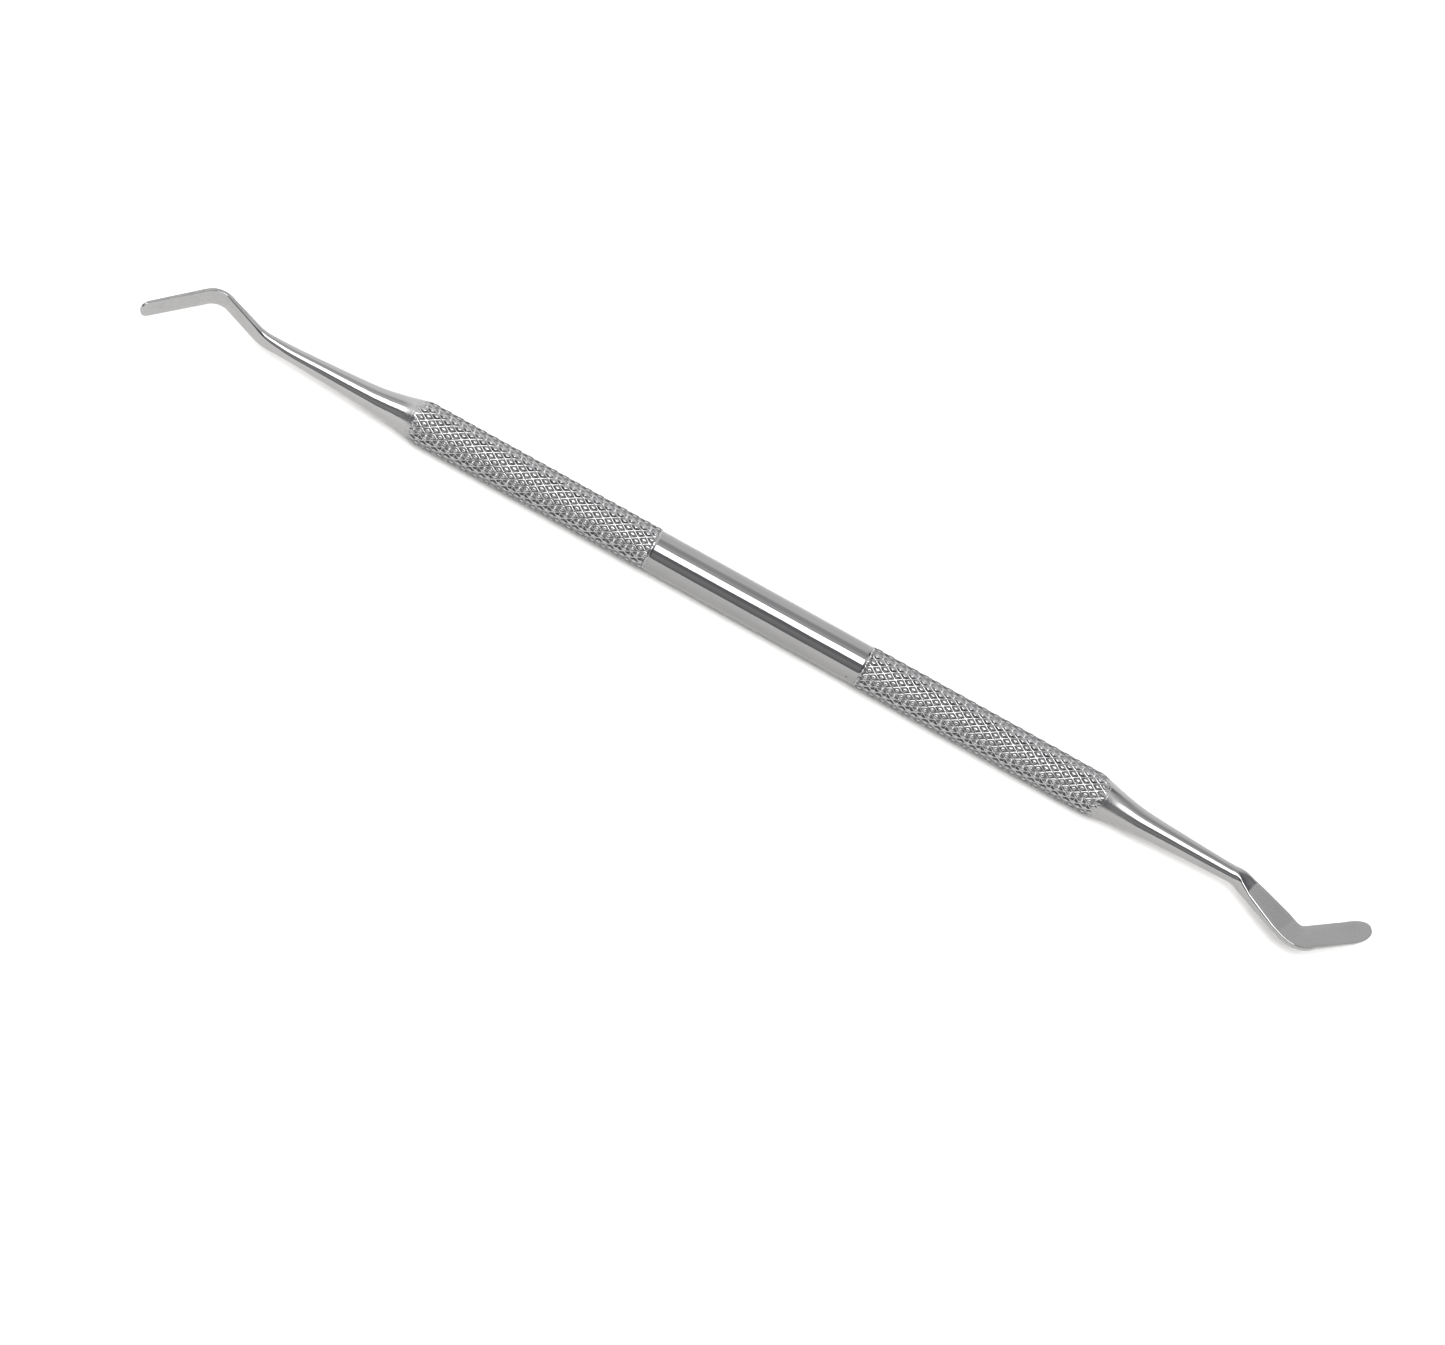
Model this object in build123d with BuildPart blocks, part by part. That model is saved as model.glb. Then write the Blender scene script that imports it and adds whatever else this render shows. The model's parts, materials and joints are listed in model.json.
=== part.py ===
from build123d import *
import math
import os

# Double-ended sculpting spatula, stainless steel.
# A solid round handle has two knurled grips with a smooth band between them. Each end of the
# handle is bored, and a working end is pressed into the bore by its spigot. A working end is a
# turned taper that runs down to a thin shank, flattened into a strip, bent at a knee and again
# at a heel, and finished as a round-tipped blade. One blade lies flat and is bent edgeways.
# The other stands on edge and is bent flatways, so the two blades are square to each other.
#
# Millimetres. Origin: on the handle's axis, halfway along the smooth band. +X runs along the
# handle towards the flat blade, +Z is up, square to the flat blade's face.

# Handle
smooth_diameter = 5.5
grip_diameter = 5.75
smooth_length = 30.2
grip_length = 33.2
run_out_length = 1.2
bore_diameter = 3.2
bore_depth = 12.0

# Working ends: the turned part
spigot_length = 11.5
spigot_chamfer = 0.3
taper_length = 20.0
swell_length = 3.5
swell_height = 1.0
flat_neck_radius = 1.13
upright_neck_radius = 0.96
shank_nose_length = 2.4
shank_nose_radius = 0.3

# Working ends: the bent strips. Points are (x, y) on the centreline, seen from above.
flat_shank = (66.0, 0.0)
flat_knee = (69.3, -0.5)
flat_heel = (78.6, -5.0)
flat_blade_angle = 40.2
flat_blade_length = 11.6
flat_widths = (2.2, 2.3, 3.6, 3.1)

upright_shank = (-66.0, 0.0)
upright_knee = (-70.85, -0.75)
upright_heel = (-78.75, 2.6)
upright_blade_angle = 235.85
upright_blade_length = 11.1
upright_thicknesses = (1.9, 1.05, 0.5, 0.3)

# Half heights (x from the origin, half height) of each strip, seen from the side.
flat_half_thickness = ((66.0, 1.1), (68.5, 1.1), (71.2, 0.78), (76.8, 0.36), (88.0, 0.2))
upright_half_width = ((66.0, 0.95), (69.6, 1.16), (78.5, 1.14), (80.2, 1.23), (84.2, 1.21))

# Corner radii, going round each strip's outline from the shank: one side's shank, knee, heel
# and tip, then back along the other side.
flat_corner_radii = (0.1, 4.4, 0.6, 1.54, 1.54, 4.2, 2.4, 0.1)
upright_corner_radii = (0.1, 6.8, 2.05, 0.06, 0.06, 2.55, 5.8, 0.1)

grip_radius = grip_diameter / 2
handle_half = smooth_length / 2 + grip_length
shoulder_x = handle_half + run_out_length

os.makedirs("parts", exist_ok=True)


def point_along(start, angle, distance):
    """The point at a distance from start, in a direction given in degrees."""
    direction = math.radians(angle)
    return (start[0] + distance * math.cos(direction), start[1] + distance * math.sin(direction))


def taper_radius(distance, neck_radius):
    """Radius of the taper, a distance beyond the grip: a short swell that dies away on a cone."""
    cone_height = grip_radius - swell_height - neck_radius
    swell = swell_height * math.exp(-distance / swell_length)
    return neck_radius + swell + cone_height * (1 - distance / taper_length)


def strip_corners(centreline, widths):
    """Corners of a strip along a bent centreline, each bend mitred, going round it once."""
    left = []
    right = []
    last = len(centreline) - 1
    for index, (point, width) in enumerate(zip(centreline, widths)):
        before = centreline[max(index - 1, 0)]
        after = centreline[min(index + 1, last)]
        arrive = math.atan2(point[1] - before[1], point[0] - before[0]) if index > 0 else None
        leave = math.atan2(after[1] - point[1], after[0] - point[0]) if index < last else None
        arrive = leave if arrive is None else arrive
        leave = arrive if leave is None else leave
        turn = math.remainder(leave - arrive, 2 * math.pi)
        mitre = width / 2 / math.cos(turn / 2)
        across = math.degrees(arrive + turn / 2) + 90
        left.append(point_along(point, across, mitre))
        right.append(point_along(point, across, -mitre))
    return left + right[::-1]


def turned_outline(side, neck_radius, nose_x):
    """Half outline of spigot, shoulder, taper and shank in the XZ plane, closed on the axis."""
    spigot_radius = bore_diameter / 2
    spigot_end = shoulder_x - spigot_length
    taper_end = handle_half + taper_length
    stations = [run_out_length, 2.5, 4.5, 8.0, 13.0, taper_length]
    curve = [(side * (handle_half + d), taper_radius(d, neck_radius)) for d in stations]
    with BuildSketch(Plane.XZ) as outline:
        with BuildLine():
            Polyline(
                (side * spigot_end, 0),
                (side * spigot_end, spigot_radius - spigot_chamfer),
                (side * (spigot_end + spigot_chamfer), spigot_radius),
                (side * shoulder_x, spigot_radius),
                curve[0],
            )
            Spline(*curve)
            Polyline(
                curve[-1],
                (side * max(nose_x - shank_nose_length, taper_end + 0.1), neck_radius),
                (side * nose_x, shank_nose_radius),
                (side * nose_x, 0),
                (side * spigot_end, 0),
            )
        make_face()
    return outline.sketch


# The handle: one round bar, its grips standing slightly proud of the smooth band, with a short
# cone at each end where the knurling runs out, and a blind bore for each spigot.
with BuildPart() as handle:
    with BuildSketch(Plane.XZ):
        with BuildLine():
            Polyline(
                (-shoulder_x, 0),
                (-shoulder_x, taper_radius(run_out_length, upright_neck_radius)),
                (-handle_half, grip_radius),
                (-smooth_length / 2, grip_radius),
                (-smooth_length / 2, smooth_diameter / 2),
                (smooth_length / 2, smooth_diameter / 2),
                (smooth_length / 2, grip_radius),
                (handle_half, grip_radius),
                (shoulder_x, taper_radius(run_out_length, flat_neck_radius)),
                (shoulder_x, 0),
                close=True,
            )
        make_face()
    revolve(axis=Axis.X)
    for end_face in (handle.faces().sort_by(Axis.X)[0], handle.faces().sort_by(Axis.X)[-1]):
        with BuildSketch(Plane(end_face)):
            Circle(bore_diameter / 2)
        extrude(amount=-bore_depth, mode=Mode.SUBTRACT)

# The flat strip: its bent outline seen from above, kept inside its wedge seen from the side.
flat_tip = point_along(flat_heel, flat_blade_angle, flat_blade_length)
flat_corners = strip_corners([flat_shank, flat_knee, flat_heel, flat_tip], flat_widths)
with BuildPart() as flat_strip:
    with BuildSketch(Plane.XY) as flat_plan:
        with BuildLine():
            Polyline(*flat_corners, close=True)
        make_face()
        for corner, radius in zip(flat_corners, flat_corner_radii):
            fillet(flat_plan.vertices().sort_by_distance((*corner, 0))[0], radius)
    extrude(amount=grip_radius, both=True)
    with BuildSketch(Plane.XZ):
        with BuildLine():
            upper = [(x, half) for x, half in flat_half_thickness]
            lower = [(x, -half) for x, half in reversed(flat_half_thickness)]
            Polyline(*upper, *lower, close=True)
        make_face()
    extrude(amount=handle_half, both=True, mode=Mode.INTERSECT)

# The upright strip: its thin bent outline seen from above, kept inside its widening face seen
# from the side, which ends in the blade's round tip.
upright_tip = point_along(upright_heel, upright_blade_angle, upright_blade_length)
upright_corners = strip_corners(
    [upright_shank, upright_knee, upright_heel, upright_tip], upright_thicknesses
)
tip_start_x, tip_half_width = upright_half_width[-1]
with BuildPart() as upright_strip:
    with BuildSketch(Plane.XY) as upright_plan:
        with BuildLine():
            Polyline(*upright_corners, close=True)
        make_face()
        for corner, radius in zip(upright_corners, upright_corner_radii):
            fillet(upright_plan.vertices().sort_by_distance((*corner, 0))[0], radius)
    extrude(amount=grip_radius, both=True)
    with BuildSketch(Plane.XZ):
        with BuildLine():
            upper = [(-x, half) for x, half in upright_half_width]
            lower = [(-x, -half) for x, half in upright_half_width]
            Polyline(*upper)
            EllipticalCenterArc(
                (-tip_start_x, 0), -upright_tip[0] - tip_start_x, tip_half_width,
                start_angle=90, arc_size=180,
            )
            Polyline(*reversed(lower))
            Line(lower[0], upper[0])
        make_face()
    extrude(amount=handle_half, both=True, mode=Mode.INTERSECT)

with BuildPart() as flat_end:
    add(turned_outline(1, flat_neck_radius, flat_knee[0] + 0.9))
    revolve(axis=Axis.X)
    add(flat_strip.part)

with BuildPart() as upright_end:
    add(turned_outline(-1, upright_neck_radius, -upright_knee[0] + 0.6))
    revolve(axis=Axis.X)
    add(upright_strip.part)

handle.part.label = "handle"
export_step(handle.part, "parts/handle.step")
flat_end.part.label = "flat_blade_end"
export_step(flat_end.part, "parts/flat_blade_end.step")
upright_end.part.label = "upright_blade_end"
export_step(upright_end.part, "parts/upright_blade_end.step")

for piece in (handle.part, flat_end.part, upright_end.part):
    size = piece.bounding_box()
    print(piece.label, len(piece.solids()), round(piece.volume, 2), size.min, size.max)
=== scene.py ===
"""Double-ended steel sculpting spatula: knurled handle, two bent blades, floor, light and camera.

Lengths written as numbers are millimetres times MM, so that everything in the scene is in metres.
The handle lies along X on its grips; the left working end's blade stands on edge, the right one lies flat.
"""

import json
import math

import bpy
import numpy as np
from mathutils import Matrix, Vector


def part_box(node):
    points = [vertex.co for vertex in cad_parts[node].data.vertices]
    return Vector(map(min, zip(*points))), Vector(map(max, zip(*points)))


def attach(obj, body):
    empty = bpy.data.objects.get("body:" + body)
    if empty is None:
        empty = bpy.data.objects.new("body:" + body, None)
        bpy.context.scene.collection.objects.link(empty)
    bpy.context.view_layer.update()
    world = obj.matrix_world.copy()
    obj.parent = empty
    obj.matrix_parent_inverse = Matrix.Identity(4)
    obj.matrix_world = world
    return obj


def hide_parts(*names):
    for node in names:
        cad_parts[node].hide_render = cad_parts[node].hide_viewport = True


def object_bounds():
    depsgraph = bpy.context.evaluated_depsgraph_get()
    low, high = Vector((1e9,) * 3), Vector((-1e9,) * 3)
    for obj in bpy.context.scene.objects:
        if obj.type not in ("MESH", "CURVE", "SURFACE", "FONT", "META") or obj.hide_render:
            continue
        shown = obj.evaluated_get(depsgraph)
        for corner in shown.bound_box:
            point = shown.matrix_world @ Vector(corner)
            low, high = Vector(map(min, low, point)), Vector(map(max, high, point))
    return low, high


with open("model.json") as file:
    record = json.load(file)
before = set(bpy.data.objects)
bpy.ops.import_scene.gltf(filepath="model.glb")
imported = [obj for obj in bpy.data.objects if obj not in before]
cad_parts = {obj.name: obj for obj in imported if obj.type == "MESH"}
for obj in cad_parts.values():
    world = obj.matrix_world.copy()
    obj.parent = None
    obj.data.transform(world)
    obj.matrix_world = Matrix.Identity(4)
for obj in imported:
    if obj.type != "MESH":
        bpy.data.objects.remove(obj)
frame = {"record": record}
cad_low, cad_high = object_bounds()

MM = 0.001
TURN = 2 * math.pi

# ---------------------------------------------------------------------------------------------
# Sizes, from the frame
# ---------------------------------------------------------------------------------------------
MOUNTS = {mount["name"]: mount for mount in frame["record"]["mounts"]}
BAND_RADIUS = MOUNTS["grip_band"]["dims"]["r_mm"] * MM
BAND_HALF = MOUNTS["grip_band"]["dims"]["length_mm"] * MM / 2
SHOULDER_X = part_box("handle")[1][0]
GRIP_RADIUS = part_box("handle")[1][2]
SPIGOT_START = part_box("flat_blade_end")[0][0]

# The taper beyond each grip: a short swell that dies away on a slender cone.
RUN_OUT = 1.2 * MM
GRIP_END = SHOULDER_X - RUN_OUT
TAPER_LENGTH = 20.0 * MM
SWELL_HEIGHT = 1.0 * MM
SWELL_LENGTH = 3.5 * MM

# The spigots and the bores that hold them. Each rim is a fine ring of faces on the end face beside the other.
SPIGOT_RADIUS = 1.6 * MM
SPIGOT_CHAMFER = 0.3 * MM
SPIGOT_RIM = 0.1 * MM
BORE_DEPTH = 12.0 * MM
BORE_RIM = 0.15 * MM

# The knurl: pyramids between two families of helical grooves. The flat and the valley are shares of the way
# from a pyramid's middle to its groove. The start's two values are shares of the pitch.
KNURL_STARTS = 16
KNURL_PITCH = 1.68 * MM
KNURL_DEPTH = 0.28 * MM
KNURL_FLAT = 0.35
KNURL_VALLEY = 0.10
KNURL_STEPS = 8
KNURL_LOWEST = 0.90
KNURL_UNEVEN = 0.08
KNURL_LEAN = 0.20
KNURL_START_RAGGED = 0.30
KNURL_START_LENGTH = 0.16
LEFT_KNURL_SHIFT = 7.0 * MM

# Marks on the smooth band: two scribed rings, and a speck of rust low on the viewer's side.
SCRIBED_AT = (8.6 * MM, 9.4 * MM)
SCRIBED_WIDTH = 0.06 * MM
RUST_SPECK = (13.8 * MM, -2.72 * MM, -0.35 * MM)

# Both shanks were set a little off the handle's axis, over the first part of the taper.
SHANK_SET = 0.41 * MM
SHANK_SET_LENGTH = 6.0 * MM

# The bent strips, as (x, y) points on the centreline from the shoulder to the heel, in millimetres, and each
# blade's direction in degrees and its length.
FLAT_LINE = [(SHOULDER_X / MM, 0.0), (69.38, -0.11), (78.6, -4.56)]
FLAT_BLADE = (39.9, 11.8)
UPRIGHT_LINE = [(-SHOULDER_X / MM, 0.0), (-70.85, -0.35), (-78.75, 3.0)]
UPRIGHT_BLADE = (235.85, 11.1)

# The radius of each strip's bends, at the knee and at the heel, in millimetres.
FLAT_BENDS = (3.8, 2.45)
UPRIGHT_BENDS = (6.3, 2.3)

# The radius of each thin shank, and how far the shank's turning marks reach.
FLAT_NECK = 1.13 * MM
UPRIGHT_NECK = 0.96 * MM
FLAT_DULL = 8.0 * MM
UPRIGHT_DULL = 2.0 * MM

# Where each round shank turns into the strip, past the knee, in millimetres: where that starts, where it is
# complete, and how much later it comes at the near side. Ground is the change across, facet that in height.
FLAT_GROUND = (-1.05, 1.28, 0.8)
FLAT_FACET = (-0.4, 2.75, 0.95)
UPRIGHT_GROUND = (-3.5, 3.0, 0.0)
UPRIGHT_FACET = UPRIGHT_GROUND

# Half the flat strip's width and half the upright strip's height, by distance past the knee.
FLAT_WIDE = ((0, 1.04), (4, 1.57), (8, 1.92), (10.5, 1.83), (13, 1.58))
UPRIGHT_TALL = ((0, 1.16), (4, 1.11), (9.5, 1.14), (11.5, 1.23), (14, 1.21))

# How far back each tip's rounding reaches, and the power of its curve, 2 being an ellipse. The flat tip's
# point also leans to the left of the blade's direction.
FLAT_TIP = (3.55 * MM, 2.34)
FLAT_TIP_LEAN = 0.43 * MM
UPRIGHT_TIP = (1.25 * MM, 2.3)

# How far the upright strip's two thin edges lean towards the viewer, as a slope.
UPRIGHT_EDGE_LEAN = 0.16

# The spacing of the rings along a strip, in millimetres.
PATH_STEP = 0.08

# How dull the strips' edges are beside their faces, how dull the turning marks are, and over what share of
# their reach they stay so.
EDGE_SATIN = 0.12
TURNING_MARKS = 0.7
TURNING_MARKS_HELD = 0.15

# Rings whose middles are closer than this have an end face between them.
SAME_PLACE = 0.005 * MM


def smooth(low, high, value):
    """0 below low, 1 above high, and 3t^2 - 2t^3 between them."""
    share = np.clip((value - low) / (high - low), 0.0, 1.0)
    return share * share * (3 - 2 * share)


# ---------------------------------------------------------------------------------------------
# Meshes
# ---------------------------------------------------------------------------------------------
def closed_tube(name, rings, **layers):
    """A closed skin over a stack of rings.

    rings[i, j] is point j of ring i, counter-clockwise seen from the far end of the stack. Neighbouring rings
    are joined by four-sided faces, and each end is closed by a fan to the middle of its ring. Faces between
    rings that share a middle are end faces, and stay flat. layers are numbers per ring point, kept as point
    attributes of the mesh.
    """
    count, around = rings.shape[:2]
    points = np.concatenate([rings.reshape(-1, 3), rings[:1].mean(axis=1), rings[-1:].mean(axis=1)])
    here = np.arange(count * around).reshape(count, around)
    beside = np.roll(here, -1, axis=1)
    quads = np.stack([here[:-1], beside[:-1], beside[1:], here[1:]], axis=-1).reshape(-1, 4)
    start = count * around
    end = start + 1
    first = np.stack([beside[0], here[0], np.full(around, start)], axis=-1)
    last = np.stack([here[-1], beside[-1], np.full(around, end)], axis=-1)
    corners = np.concatenate([quads.ravel(), first.ravel(), last.ravel()])
    sizes = np.concatenate([np.full(len(quads), 4), np.full(2 * around, 3)])
    starts = np.concatenate([[0], np.cumsum(sizes)[:-1]])

    mesh = bpy.data.meshes.new(name)
    mesh.vertices.add(len(points))
    mesh.vertices.foreach_set("co", points.ravel().astype(np.float32))
    mesh.loops.add(len(corners))
    mesh.loops.foreach_set("vertex_index", corners.astype(np.int32))
    mesh.polygons.add(len(sizes))
    mesh.polygons.foreach_set("loop_start", starts.astype(np.int32))
    mesh.update(calc_edges=True)
    mesh.validate()
    middles = rings.mean(axis=1)
    smooth_gap = np.linalg.norm(np.diff(middles, axis=0), axis=1) > SAME_PLACE
    smooth_face = np.concatenate([np.repeat(smooth_gap, around), np.zeros(2 * around, dtype=bool)])
    mesh.polygons.foreach_set("use_smooth", smooth_face)
    for layer, values in layers.items():
        ends = [values[0].mean(), values[-1].mean()]
        attribute = mesh.attributes.new(layer, "FLOAT", "POINT")
        attribute.data.foreach_set("value", np.concatenate([values.ravel(), ends]).astype(np.float32))
    piece = bpy.data.objects.new(name, mesh)
    bpy.context.scene.collection.objects.link(piece)
    return piece


def turned_rings(stations, radii, around):
    """Rings round the X axis: point = (x, r cos a, r sin a), with r given per ring or per point."""
    angle = np.arange(around) * TURN / around
    radii = np.broadcast_to(np.reshape(radii, (len(stations), -1)), (len(stations), around))
    x = np.repeat(np.asarray(stations)[:, None], around, axis=1)
    return np.stack([x, radii * np.cos(angle), radii * np.sin(angle)], axis=-1)


def taper_radius(distance, neck_radius):
    """Radius a distance beyond the grip: neck + swell * exp(-d / length) + cone * (1 - d / taper length)."""
    cone = GRIP_RADIUS - SWELL_HEIGHT - neck_radius
    swell = SWELL_HEIGHT * np.exp(-distance / SWELL_LENGTH)
    return neck_radius + swell + cone * (1 - distance / TAPER_LENGTH)


def chance(row, column, seed):
    """A repeatable number from 0 to 1 for each pair of whole numbers: the fraction of a large sine."""
    return np.mod(np.sin(row * 12.9898 + column * 78.233 + seed * 37.719) * 43758.5453, 1.0)


def knurl_relief(x, angle):
    """Height of the knurl, from 0 in the grooves to about 1 on the flats, and the distance it comes from.

    Two families of helical grooves run at whole values of x / pitch + starts * angle / turn and of
    x / pitch - starts * angle / turn. Between them each pyramid falls from a small flat to the groove in a
    straight slope, by the larger of its two distances from the pyramid's middle. Each pyramid is a little
    higher or lower than the next, and its flat leans a little.
    """
    along = x / KNURL_PITCH
    across = KNURL_STARTS * angle / TURN
    wander = 0.02 * np.sin(along * 0.83 + 3 * angle) + 0.015 * np.sin(along * 2.1 - 5 * angle)
    first = along + across + wander
    second = along - across + wander * 0.6
    row = np.floor(first) + np.floor(second)
    column = np.mod(np.floor(first) - np.floor(second), 2 * KNURL_STARTS)
    from_first = 2 * np.mod(first, 1.0) - 1
    from_second = 2 * np.mod(second, 1.0) - 1
    distance = np.maximum(np.abs(from_first), np.abs(from_second))
    slope = np.clip((1 - distance - KNURL_VALLEY) / (1 - KNURL_VALLEY - KNURL_FLAT), 0.0, 1.0)
    lean_first = KNURL_LEAN * (chance(row, column, 1) - 0.5) * from_first
    lean_second = KNURL_LEAN * (chance(row, column, 2) - 0.5) * from_second
    height = KNURL_LOWEST + KNURL_UNEVEN * chance(row, column, 3)
    return slope * (height + lean_first + lean_second), distance


def grip(name, side, neck_radius):
    """One knurled grip with its run-out cone and bore.

    Radius = groove radius + depth * relief over the grip, cut down to the turned cone beyond the grip's end,
    and blended into the plain band over the first knurl row along a zigzag. The far end is a flat ring round
    the bore, which ends in a flat floor. Two layers are kept for the finish: relief, the knurl's height, from
    which the material paints highlight on the flats and groove bottoms and shade on the slopes, and turned,
    which is 1 on the cone, in the bore and on the end faces.
    """
    around = 2 * KNURL_STARTS * KNURL_STEPS
    step = KNURL_PITCH / (2 * KNURL_STEPS)
    stations = np.append(np.arange(BAND_HALF, SHOULDER_X, step), SHOULDER_X)
    angle = np.arange(around) * TURN / around
    x, turn = np.meshgrid(stations, angle, indexing="ij")
    relief, distance = knurl_relief(x + (LEFT_KNURL_SHIFT if side < 0 else 0.0), turn)
    knurled = GRIP_RADIUS - KNURL_DEPTH + KNURL_DEPTH * relief
    ragged = (0.5 - distance) * KNURL_START_RAGGED * KNURL_PITCH
    started = smooth(0.0, KNURL_START_LENGTH * KNURL_PITCH, x - BAND_HALF + ragged)
    knurled = BAND_RADIUS + (knurled - BAND_RADIUS) * started
    cone = taper_radius(np.maximum(x - GRIP_END, 0.0), neck_radius)
    cut = (x > GRIP_END) & (cone < knurled)
    radius = np.where(cut, cone, knurled)
    # Painted highlight and shade in the knurl's colour follow this height, which goes to 0.9 towards the
    # plain band.
    shading_relief = relief * started + 0.9 * (1 - started)
    turned = cut.astype(float)

    bore_stations = [SHOULDER_X, SHOULDER_X, SHOULDER_X - BORE_DEPTH, SHOULDER_X - BORE_DEPTH]
    bore_radii = [SPIGOT_RADIUS + BORE_RIM, SPIGOT_RADIUS, SPIGOT_RADIUS, SPIGOT_RADIUS * 0.5]
    inner_stations = [BAND_HALF, BAND_HALF]
    inner_radii = [BAND_RADIUS * 0.5, BAND_RADIUS * 0.98]
    rings = np.concatenate([
        turned_rings(inner_stations, inner_radii, around),
        turned_rings(stations, radius, around),
        turned_rings(bore_stations, bore_radii, around),
    ])
    plain = np.ones((2, around))
    bored = np.ones((4, around))
    shading_relief = np.concatenate([plain, shading_relief, bored])
    turned = np.concatenate([plain, turned, bored])
    if side < 0:
        rings = rings[::-1] * np.array([-1.0, 1.0, 1.0])
        shading_relief = shading_relief[::-1]
        turned = turned[::-1]
    return closed_tube(name, rings, relief=shading_relief, turned=turned)


def smooth_band():
    """The plain band between the grips: a cylinder with its rim eased by a fine radius."""
    around = 256
    rings_along = 80
    ease = 0.03 * MM
    inner = np.linspace(-BAND_HALF + ease, BAND_HALF - ease, rings_along)
    stations = np.concatenate([[-BAND_HALF, -BAND_HALF], inner, [BAND_HALF, BAND_HALF]])
    radii = np.concatenate([
        [BAND_RADIUS * 0.5, BAND_RADIUS - ease],
        np.full(rings_along, BAND_RADIUS),
        [BAND_RADIUS - ease, BAND_RADIUS * 0.5],
    ])
    return closed_tube("smooth_band", turned_rings(stations, radii, around))


def bent_path(points, blade, bend_radii, spacing):
    """A centreline in the XY plane with round bends: distance, x, y and heading arrays, and the bends' ends.

    The heading is constant on each straight and turns evenly along each bend. Its cosine and sine, added up
    along the distance, give x and y. A bend of radius r and turn a takes r * tan(a / 2) off each straight.
    """
    corners = [np.array(point) for point in points]
    angle = math.radians(blade[0])
    length = blade[1]
    corners.append(corners[-1] + length * np.array([math.cos(angle), math.sin(angle)]))
    legs = [after - before for before, after in zip(corners, corners[1:])]
    headings = np.unwrap([math.atan2(leg[1], leg[0]) for leg in legs])
    turns = np.diff(headings)
    trims = [radius * math.tan(abs(turn) / 2) for radius, turn in zip(bend_radii, turns)]
    marks = [0.0]
    values = [headings[0]]
    for index, leg in enumerate(legs):
        before = trims[index - 1] if index > 0 else 0.0
        after = trims[index] if index < len(trims) else 0.0
        marks.append(marks[-1] + np.linalg.norm(leg) - before - after)
        values.append(headings[index])
        if index < len(trims):
            marks.append(marks[-1] + bend_radii[index] * abs(turns[index]))
            values.append(headings[index + 1])
    distance = np.linspace(0.0, marks[-1], int(marks[-1] / spacing) + 1)
    heading = np.interp(distance, marks, values)
    middle = (heading[1:] + heading[:-1]) / 2
    stride = np.diff(distance)
    x = corners[0][0] + np.concatenate([[0.0], np.cumsum(np.cos(middle) * stride)])
    y = corners[0][1] + np.concatenate([[0.0], np.cumsum(np.sin(middle) * stride)])
    return distance * MM, x * MM, y * MM, heading, np.array(marks) * MM


def rounded_ring(half_side, half_up, corner, angle):
    """Rings of rounded rectangles, as sideways and upward offsets.

    Offset = corner * (cos a, sin a) + (half - corner) * clamp(k cos a, k sin a), so that a ring is a circle
    where both halves equal the corner radius, and gets flats as the corner radius shrinks.
    """
    switch = 6.0
    side = np.clip(np.cos(angle) * switch, -1, 1)
    up = np.clip(np.sin(angle) * switch, -1, 1)
    corner = np.minimum(corner, np.minimum(half_side, half_up))
    sideways = corner[:, None] * np.cos(angle) + (half_side - corner)[:, None] * side
    upward = corner[:, None] * np.sin(angle) + (half_up - corner)[:, None] * up
    return sideways, upward


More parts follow.
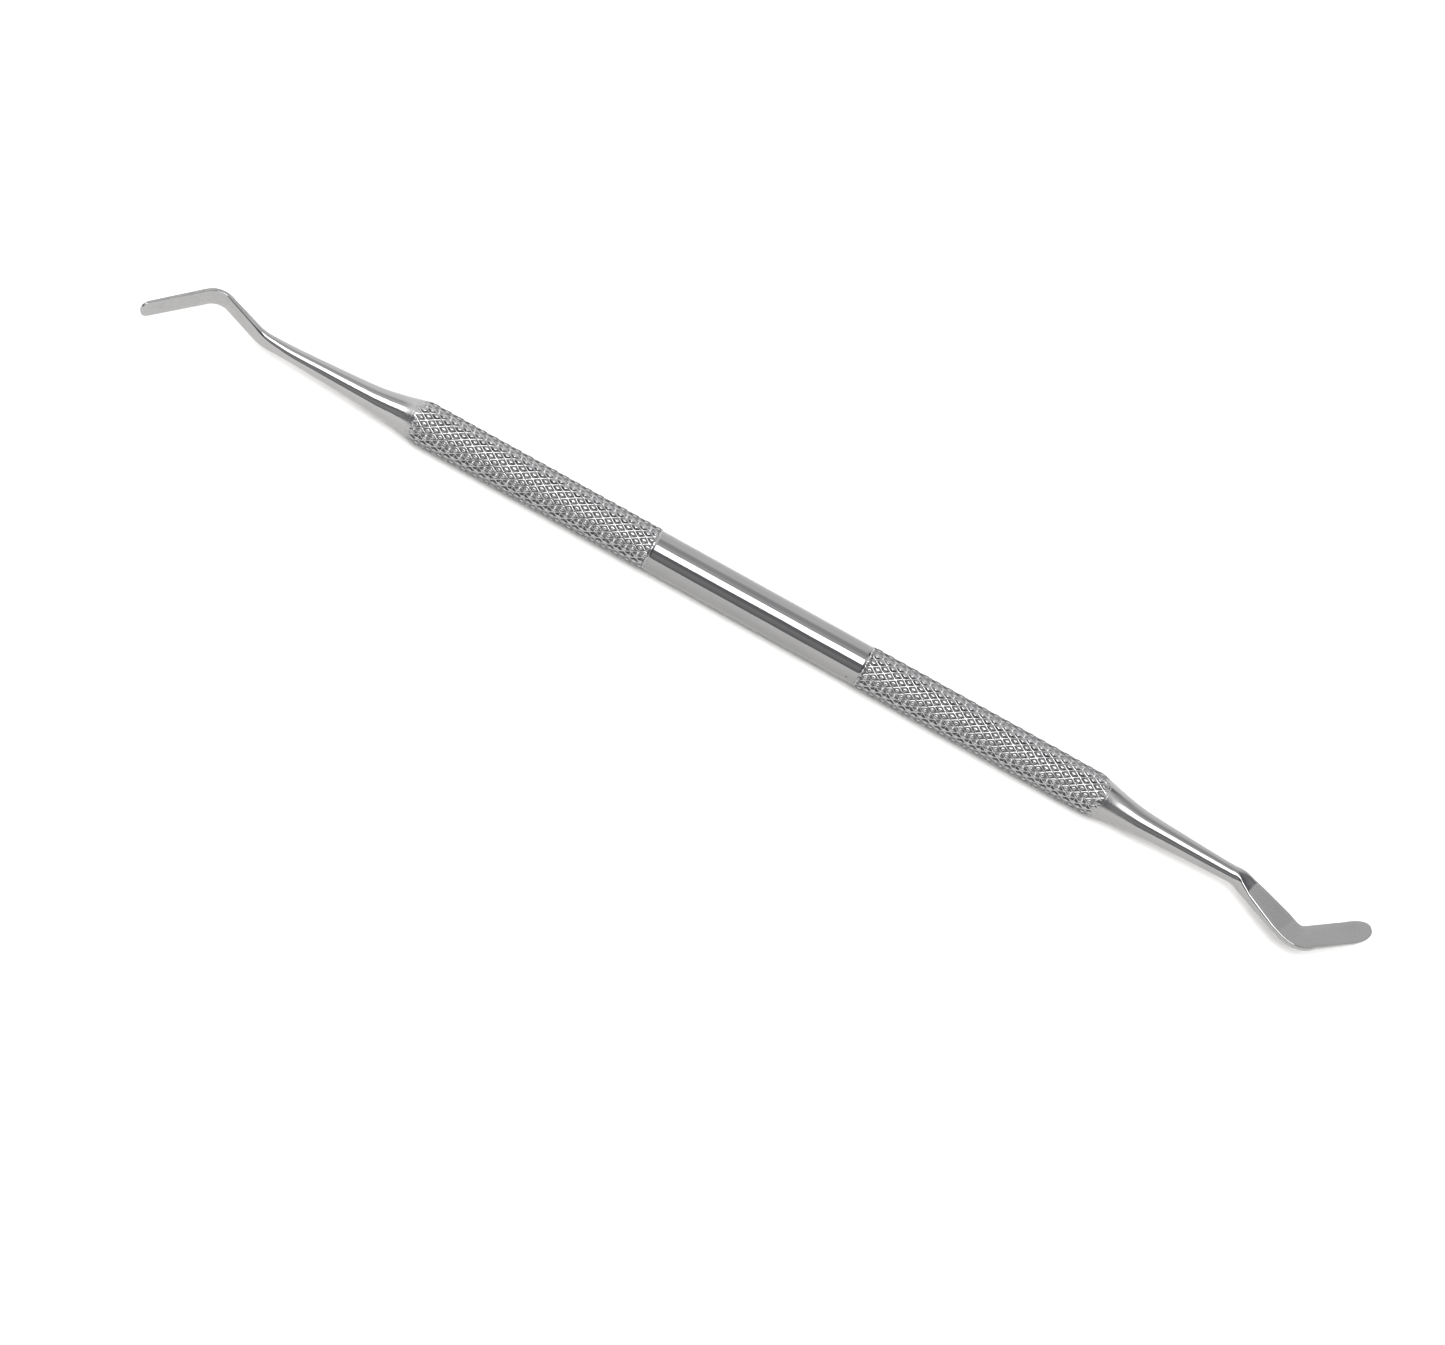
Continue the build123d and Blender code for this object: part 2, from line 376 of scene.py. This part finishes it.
def working_end(name, side, points, blade, bend_radii, neck_radius, section, ground, facet, dull_length):
    """A spigot, a shoulder, the turned taper and the bent strip, as one skin along the centreline.

    section(distance left to the tip, distance past the knee) gives the strip's two half sizes, its corner
    radius, its sideways offset and the slope of its edges. ground and facet are where the round shank turns
    into the strip, across and in height. The shank's turning marks fade out over the dull length. The satin
    layer is 1 where the steel is dullest.
    """
    around = 96
    distance, x, y, heading, marks = bent_path(points, blade, bend_radii, PATH_STEP)
    y = y - SHANK_SET * smooth(0.0, SHANK_SET_LENGTH, distance)
    past_grip = distance + RUN_OUT
    past_knee = distance - marks[1]
    turned = np.where(
        past_grip < TAPER_LENGTH,
        taper_radius(np.minimum(past_grip, TAPER_LENGTH), neck_radius),
        neck_radius + SWELL_HEIGHT * np.exp(-past_grip / SWELL_LENGTH),
    )
    angle = (np.arange(around) + 0.5) * TURN / around
    *sizes, offset, edge_lean = section(marks[-1] - distance, past_knee)
    strip_side, strip_up = rounded_ring(*sizes, angle)
    strip_up = strip_up - edge_lean * strip_side
    start, full, slant = (value * MM for value in ground)
    widened = smooth(start, full, past_knee[:, None] + slant * np.cos(angle))
    start, full, slant = (value * MM for value in facet)
    formed = np.clip((past_knee[:, None] + slant * np.cos(angle) - start) / (full - start), 0.0, 1.0)
    sideways = turned[:, None] * np.cos(angle) * (1 - widened) + (strip_side + offset[:, None]) * widened
    upward = turned[:, None] * np.sin(angle) * (1 - formed) + strip_up * formed
    px = x[:, None] - np.sin(heading)[:, None] * sideways
    py = y[:, None] + np.cos(heading)[:, None] * sideways
    strip = np.stack([px, py, upward], axis=-1)

    face = 1 - np.minimum(4 * np.minimum(np.abs(np.cos(angle)), np.abs(np.sin(angle))), 1.0)
    turning_marks = TURNING_MARKS * (1 - smooth(TURNING_MARKS_HELD, 1.0, distance / dull_length))
    satin = np.maximum(formed * (EDGE_SATIN + (1 - EDGE_SATIN) * face), turning_marks[:, None])

    spigot_x = [SPIGOT_START, SPIGOT_START, SPIGOT_START + SPIGOT_CHAMFER, SHOULDER_X, SHOULDER_X]
    spigot_r = [
        SPIGOT_RADIUS / 2, SPIGOT_RADIUS - SPIGOT_CHAMFER,
        SPIGOT_RADIUS, SPIGOT_RADIUS, SPIGOT_RADIUS + SPIGOT_RIM,
    ]
    spigot_x = np.repeat(np.array(spigot_x)[:, None], around, axis=1)
    spigot = np.stack([
        side * spigot_x,
        side * np.array(spigot_r)[:, None] * np.cos(angle),
        np.array(spigot_r)[:, None] * np.sin(angle),
    ], axis=-1)
    rings = np.concatenate([spigot, strip])
    satin = np.concatenate([np.zeros((len(spigot), around)), satin])
    return closed_tube(name, rings, satin=satin)


def tip_round(left, reach, power):
    """Share of the full width left near a round tip: (1 - t^n)^(1/n), t going from 0 to 1 over the reach."""
    t = np.clip(1 - left / reach, 0.0, 1.0)
    return np.maximum(1 - t ** power, 0.0002) ** (1 / power)


def along_strip(past_knee, *pairs):
    """A size in metres between (distance past the knee, size) pairs in millimetres."""
    places, sizes = zip(*pairs)
    return np.interp(past_knee, np.array(places) * MM, np.array(sizes) * MM)


def flat_section(left, past_knee):
    """The flat strip: soft-edged where it leaves the shank, crisper and thinner towards the tip."""
    share = tip_round(left, *FLAT_TIP)
    half_side = along_strip(past_knee, *FLAT_WIDE) * share
    half_up = along_strip(past_knee, (0, 0.84), (3, 0.70), (9, 0.39), (20, 0.21))
    corner = along_strip(past_knee, (0, 0.42), (4.5, 0.36), (8, 0.27), (11, 0.14), (20, 0.09))
    return half_side, half_up, corner, FLAT_TIP_LEAN * np.sqrt(1 - share), 0.0


def upright_section(left, past_knee):
    """The upright strip: a rounded back edge between the bends, then a thin, crisp blade."""
    half_side = along_strip(past_knee, (0, 0.56), (3, 0.42), (8.5, 0.26), (20, 0.16))
    half_up = along_strip(past_knee, *UPRIGHT_TALL) * tip_round(left, *UPRIGHT_TIP)
    corner = along_strip(past_knee, (0, 0.50), (3, 0.34), (7, 0.20), (10, 0.07), (14, 0.05))
    return half_side, half_up, corner, np.zeros_like(left), UPRIGHT_EDGE_LEAN


# ---------------------------------------------------------------------------------------------
# Materials
# ---------------------------------------------------------------------------------------------
class Signal:
    """A number or colour running through a node tree. Arithmetic on it adds Math nodes."""

    def __init__(self, recipe, socket):
        self.recipe = recipe
        self.socket = socket

    def math(self, operation, *others, flip=False):
        values = [*others, self] if flip else [self, *others]
        return self.recipe.add("ShaderNodeMath", {"operation": operation}, dict(enumerate(values)))

    def __add__(self, other):
        return self.math("ADD", other)

    def __sub__(self, other):
        return self.math("SUBTRACT", other)

    def __mul__(self, other):
        return self.math("MULTIPLY", other)

    def __truediv__(self, other):
        return self.math("DIVIDE", other)

    def __rsub__(self, other):
        return self.math("SUBTRACT", other, flip=True)

    def __neg__(self):
        return self.math("MULTIPLY", -1.0)

    __radd__ = __add__
    __rmul__ = __mul__


class Recipe:
    """A node tree under construction."""

    def __init__(self, tree):
        self.tree = tree

    def add(self, kind, settings=None, inputs=None, output=0):
        """A node of a kind, its settings made first, then its sockets, given back as one output's Signal."""
        node = self.tree.nodes.new(kind)
        for key, value in (settings or {}).items():
            if key == "stops":
                ramp = node.color_ramp
                while len(ramp.elements) < len(value):
                    ramp.elements.new(0.5)
                for element, (place, colour) in zip(ramp.elements, value):
                    shade = colour if isinstance(colour, tuple) else (colour, colour, colour)
                    element.position = place
                    element.color = (*shade, 1.0)
            else:
                setattr(node, key, value)
        for key, value in (inputs or {}).items():
            if isinstance(value, Signal):
                self.tree.links.new(value.socket, node.inputs[key])
            else:
                node.inputs[key].default_value = value
        return Signal(self, node.outputs[output])

    def between(self, low, high, value):
        """0 to 1, eased, as the value goes from low to high."""
        settings = {"interpolation_type": "SMOOTHSTEP"}
        return self.add("ShaderNodeMapRange", settings, {"Value": value, "From Min": low, "From Max": high})

    def near(self, value, centre, reach):
        """1 at a centre, falling to 0 at a reach either side of it."""
        return self.between(reach, 0.0, (value - centre).math("ABSOLUTE"))

    def mix_colour(self, share, low, high):
        return self.add("ShaderNodeMix", {"data_type": "RGBA"}, {0: share, 6: low, 7: high}, output=2)

    def noise(self, place, scale, detail=3.0, rough=0.5):
        return self.add(
            "ShaderNodeTexNoise", {}, {"Vector": place, "Scale": scale, "Detail": detail, "Roughness": rough}
        )

    def stretched(self, place, scale):
        """Coordinates with each axis scaled by its own amount."""
        return self.add("ShaderNodeMapping", {}, {"Vector": place, "Scale": scale})


def new_material(name):
    """A plain metal material, its Principled shader and its recipe."""
    material = bpy.data.materials.new(name)
    material.use_nodes = True
    tree = material.node_tree
    shader = tree.nodes["Principled BSDF"]
    shader.inputs["Metallic"].default_value = 1.0
    return material, shader, Recipe(tree)


def feed(recipe, shader, **values):
    """Link signals to the shader's sockets, by their names with underscores for spaces."""
    for name, value in values.items():
        recipe.tree.links.new(value.socket, shader.inputs[name.replace("_", " ")])


def polishing(recipe, place):
    """Lengthwise polishing lines on the turned steel: noise drawn out along X, 0 to 1."""
    return recipe.noise(recipe.stretched(place, (60.0, 9000.0, 9000.0)), 1.0, 3.0, 0.6)


def polished_steel():
    """Turned and polished bar: fine polishing lines, hazy patches, two scribed rings and a rust speck."""
    material, shader, recipe = new_material("polished_steel")
    place = recipe.add("ShaderNodeTexCoord", output=3)
    lines = polishing(recipe, place)
    haze = recipe.noise(recipe.stretched(place, (120.0, 500.0, 500.0)), 1.0, 2.0, 0.5)
    split = recipe.add("ShaderNodeSeparateXYZ", {}, {0: place})
    uneven = recipe.noise(place, 900.0, 2.0, 0.5)
    scribed = sum(recipe.near(split, at, SCRIBED_WIDTH) for at in SCRIBED_AT) * uneven
    away = recipe.add("ShaderNodeVectorMath", {"operation": "DISTANCE"}, {0: place, 1: RUST_SPECK}, output=1)
    rust = recipe.between(0.34 * MM, 0.12 * MM, away + 0.25 * MM * uneven)
    steel = recipe.mix_colour(haze, (0.243, 0.243, 0.246, 1), (0.287, 0.287, 0.284, 1))
    colour = recipe.mix_colour(rust, steel, (0.10, 0.055, 0.03, 1))
    roughness = 0.04 + 0.06 * lines * haze + 0.25 * scribed + 0.35 * rust
    height = lines - scribed
    bump = recipe.add("ShaderNodeBump", {}, {"Strength": 0.10, "Distance": 0.00002, "Height": height})
    feed(recipe, shader, Base_Color=colour, Roughness=roughness, Normal=bump)
    return material


def knurled_steel():
    """Knurled bar: flats and groove bottoms coloured light as painted highlight, slopes coloured dark as
    painted shade and made duller, and a fine grain.

    Where the turned layer is 1, it has a plain turned finish with no knurl in its colour.
    """
    material, shader, recipe = new_material("knurled_steel")
    place = recipe.add("ShaderNodeTexCoord", output=3)
    relief = recipe.add("ShaderNodeAttribute", {"attribute_name": "relief"}, output=2)
    grain = recipe.noise(place, 5200.0, 3.0, 0.6)
    patches = recipe.noise(place, 420.0, 2.0, 0.5)
    # Painted highlight and shade: by the knurl's height, flats and groove bottoms get a light colour and the
    # slopes a dark one.
    off_slope = (2 * relief - 1).math("ABSOLUTE")
    bright = recipe.between(0.35, 0.95, off_slope)
    turned = recipe.add("ShaderNodeAttribute", {"attribute_name": "turned"}, output=2)
    knurl_colour = recipe.mix_colour(bright, (0.17, 0.17, 0.175, 1), (0.40, 0.40, 0.40, 1))
    colour = recipe.mix_colour(turned, knurl_colour, (0.31, 0.31, 0.308, 1))
    knurl_roughness = 0.09 + 0.07 * grain + 0.05 * patches + 0.14 * (1 - bright)
    roughness = knurl_roughness * (1 - turned) + turned * (0.20 + 0.12 * grain)
    bump = recipe.add("ShaderNodeBump", {}, {"Strength": 0.25, "Distance": 0.00003, "Height": grain})
    feed(recipe, shader, Base_Color=colour, Roughness=roughness, Normal=bump)
    return material


def blade_steel(name, grain_scale, dull, bright):
    """Working end: polished shank that turns to a satin blade with fine finishing lines."""
    material, shader, recipe = new_material(name)
    place = recipe.add("ShaderNodeTexCoord", output=3)
    satin = recipe.add("ShaderNodeAttribute", {"attribute_name": "satin"}, output=2)
    lines = polishing(recipe, place)
    grain = recipe.noise(recipe.stretched(place, grain_scale), 1.0, 3.0, 0.6)
    cloud = recipe.noise(place, 260.0, 2.0, 0.5)
    colour = recipe.mix_colour(cloud, (dull, dull, dull, 1), (bright, bright, bright * 0.99, 1))
    roughness = 0.04 + 0.05 * lines + satin * (0.18 + 0.14 * grain)
    height = lines * (1 - satin) + grain * satin * 2.0
    bump = recipe.add("ShaderNodeBump", {}, {"Strength": 0.15, "Distance": 0.00002, "Height": height})
    feed(recipe, shader, Base_Color=colour, Roughness=roughness, Normal=bump)
    return material


# ---------------------------------------------------------------------------------------------
# The pieces
# ---------------------------------------------------------------------------------------------
knurled = knurled_steel()
polished = polished_steel()
# Painted shade: the flat end's steel is coloured darker than the upright end's, standing in for darker
# reflections at that end; both are the same steel.
flat_finish = blade_steel("flat_blade_steel", (2500.0, 2500.0, 600.0), 0.285, 0.335)
upright_finish = blade_steel("upright_blade_steel", (2500.0, 600.0, 2500.0), 0.315, 0.36)

right_grip = grip("right_grip", 1, FLAT_NECK)
left_grip = grip("left_grip", -1, UPRIGHT_NECK)
band = smooth_band()
flat_end = working_end(
    "flat_end", 1, FLAT_LINE, FLAT_BLADE, FLAT_BENDS, FLAT_NECK,
    flat_section, FLAT_GROUND, FLAT_FACET, FLAT_DULL,
)
upright_end = working_end(
    "upright_end", -1, UPRIGHT_LINE, UPRIGHT_BLADE, UPRIGHT_BENDS, UPRIGHT_NECK,
    upright_section, UPRIGHT_GROUND, UPRIGHT_FACET, UPRIGHT_DULL,
)

for piece, material, node, slot in (
    (right_grip, knurled, "handle", "knurled_steel"),
    (left_grip, knurled, "handle", "knurled_steel"),
    (band, polished, "handle", "polished_steel"),
    (flat_end, flat_finish, "flat_blade_end", "satin_steel"),
    (upright_end, upright_finish, "upright_blade_end", "satin_steel"),
):
    piece.data.materials.append(material)
    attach(piece, "root")
    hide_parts(node)

# ---------------------------------------------------------------------------------------------
# Floor, light and camera
# ---------------------------------------------------------------------------------------------
FLOOR_Z = cad_low[2]


def pale_floor():
    """A wide matt white floor under the grips."""
    half = 3.0
    mesh = bpy.data.meshes.new("floor")
    corners = [(-half, -half, FLOOR_Z), (half, -half, FLOOR_Z), (half, half, FLOOR_Z), (-half, half, FLOOR_Z)]
    mesh.from_pydata(corners, [], [(0, 1, 2, 3)])
    floor = bpy.data.objects.new("floor", mesh)
    bpy.context.scene.collection.objects.link(floor)
    material, shader, _ = new_material("floor_white")
    shader.inputs["Metallic"].default_value = 0.0
    shader.inputs["Base Color"].default_value = (0.77, 0.764, 0.752, 1)
    shader.inputs["Roughness"].default_value = 0.9
    shader.inputs["Specular IOR Level"].default_value = 0.0
    mesh.materials.append(material)


def backdrop():
    """A pale round wall far behind the object, seen only directly and never in the steel."""
    around = 96
    radius = 2.9
    height = 2.5
    angle = np.arange(around) * TURN / around
    foot = np.stack([radius * np.cos(angle), radius * np.sin(angle), np.full(around, FLOOR_Z)], axis=-1)
    points = np.concatenate([foot, foot + np.array([0.0, 0.0, height])])
    here = np.arange(around)
    beside = np.roll(here, -1)
    faces = np.stack([here, here + around, beside + around, beside], axis=-1)
    mesh = bpy.data.meshes.new("backdrop")
    mesh.from_pydata(points.tolist(), [], faces.tolist())
    wall = bpy.data.objects.new("backdrop", mesh)
    bpy.context.scene.collection.objects.link(wall)
    material, shader, _ = new_material("backdrop_white")
    shader.inputs["Metallic"].default_value = 0.0
    shader.inputs["Base Color"].default_value = (0.0, 0.0, 0.0, 1)
    shader.inputs["Specular IOR Level"].default_value = 0.0
    shader.inputs["Emission Color"].default_value = (0.86, 0.86, 0.86, 1)
    shader.inputs["Emission Strength"].default_value = 1.0
    mesh.materials.append(material)
    wall.visible_glossy = False
    wall.visible_diffuse = False
    wall.visible_shadow = False


# Two cards off to the right behind the object, a wide grey one and a small dark one: each one's direction,
# the cosines of the angles from it where its edge starts and is complete, and how far it hides the sky.
GREY_CARD = ((0.45, 0.45, 0.77), 0.88, 0.96, 0.24)
DARK_CARD = ((0.532, 0.556, 0.639), 0.970, 0.982, 1.0)


def studio_sky():
    """A tent of light and dark bands, by the angle round the X axis, with two cards in it.

    It is dim on the viewer's side, light overhead and lightest behind, with a softer band between those two.
    Wings to the far left and right have bands of their own.
    """
    world = bpy.data.worlds.new("studio")
    bpy.context.scene.world = world
    world.use_nodes = True
    tree = world.node_tree
    recipe = Recipe(tree)
    place = recipe.add("ShaderNodeTexCoord", output=0)
    split = recipe.add("ShaderNodeSeparateXYZ", {}, {0: place})
    x, y, z = (Signal(recipe, split.socket.node.outputs[index]) for index in range(3))
    angle = z.math("ARCTAN2", -y) / math.pi
    dim = (0.34, 0.34, 0.37)
    cool = (0.37, 0.37, 0.40)
    soft = (0.84, 0.83, 0.86)
    grey = recipe.add("ShaderNodeValToRGB", {"stops": [
        (0.00, dim), (0.09, 0.50), (0.15, 0.56), (0.21, cool), (0.27, cool),
        (0.47, 1.15), (0.52, 1.05), (0.57, soft), (0.64, soft), (0.70, 1.42), (1.0, 1.48),
    ]}, {0: angle})
    wings = recipe.add("ShaderNodeValToRGB", {"stops": [
        (0.00, (0.20, 0.20, 0.22)), (0.28, (0.26, 0.26, 0.28)), (0.46, 1.60), (1.0, 2.20),
    ]}, {0: angle})
    colour = recipe.mix_colour(recipe.between(0.38, 0.56, x.math("ABSOLUTE")), grey, wings)
    for direction, outside, inside, cover in (GREY_CARD, DARK_CARD):
        settings = {"operation": "DOT_PRODUCT"}
        facing = recipe.add("ShaderNodeVectorMath", settings, {0: place, 1: direction}, output=1)
        share = recipe.between(outside, inside, facing) * cover
        colour = recipe.mix_colour(share, colour, (0.22, 0.22, 0.25, 1))
    tree.links.new(colour.socket, tree.nodes["Background"].inputs["Color"])
    tree.nodes["Background"].inputs["Strength"].default_value = 1.0


def softbox(name, elevation, distance, width, length, strength, shift=0.0, reflected=True):
    """An area light turned to face the X axis, on the viewer's side.

    Its elevation above the horizon is in degrees, and it is slid along X by the shift. It is left out of the
    steel's reflections where reflected is false.
    """
    light = bpy.data.lights.new(name, "AREA")
    light.shape = "RECTANGLE"
    light.size = length
    light.size_y = width
    light.energy = strength
    lamp = bpy.data.objects.new(name, light)
    rise = math.radians(elevation)
    direction = Vector((0, -math.cos(rise), math.sin(rise)))
    lamp.location = direction * distance + Vector((shift, 0, 0))
    lamp.rotation_mode = "QUATERNION"
    lamp.rotation_quaternion = direction.to_track_quat("Z", "Y")
    lamp.visible_camera = False
    lamp.visible_glossy = reflected
    bpy.context.scene.collection.objects.link(lamp)


def studio_camera():
    """A long lens looking down across the handle, square to its length, rolled about its line of sight."""
    elevation = math.radians(48.0)
    roll = math.radians(28.98)
    camera_data = bpy.data.cameras.new("camera")
    camera_data.sensor_width = 36.0
    camera_data.lens = 63.53
    camera_data.clip_start = 0.01
    camera_data.clip_end = 20.0
    camera = bpy.data.objects.new("camera", camera_data)
    forward = Vector((0, math.cos(elevation), -math.sin(elevation)))
    along = Vector((1, 0, 0))
    upward = Vector((0, math.sin(elevation), math.cos(elevation)))
    right = math.cos(roll) * along + math.sin(roll) * upward
    top = -math.sin(roll) * along + math.cos(roll) * upward
    place = Matrix((right, top, -forward)).transposed().to_4x4()
    place.translation = Vector((0, -221.55, 232.20)) * MM
    camera.matrix_world = place
    bpy.context.scene.collection.objects.link(camera)
    bpy.context.scene.camera = camera


pale_floor()
studio_sky()
softbox("key_softbox", elevation=65.2, distance=1.20, width=0.62, length=1.16, strength=12.3, shift=-0.08)
softbox("floor_fill", elevation=38.0, distance=3.00, width=3.00, length=4.00, strength=80.0, reflected=False)
backdrop()
studio_camera()
bpy.context.scene.view_settings.view_transform = "Standard"
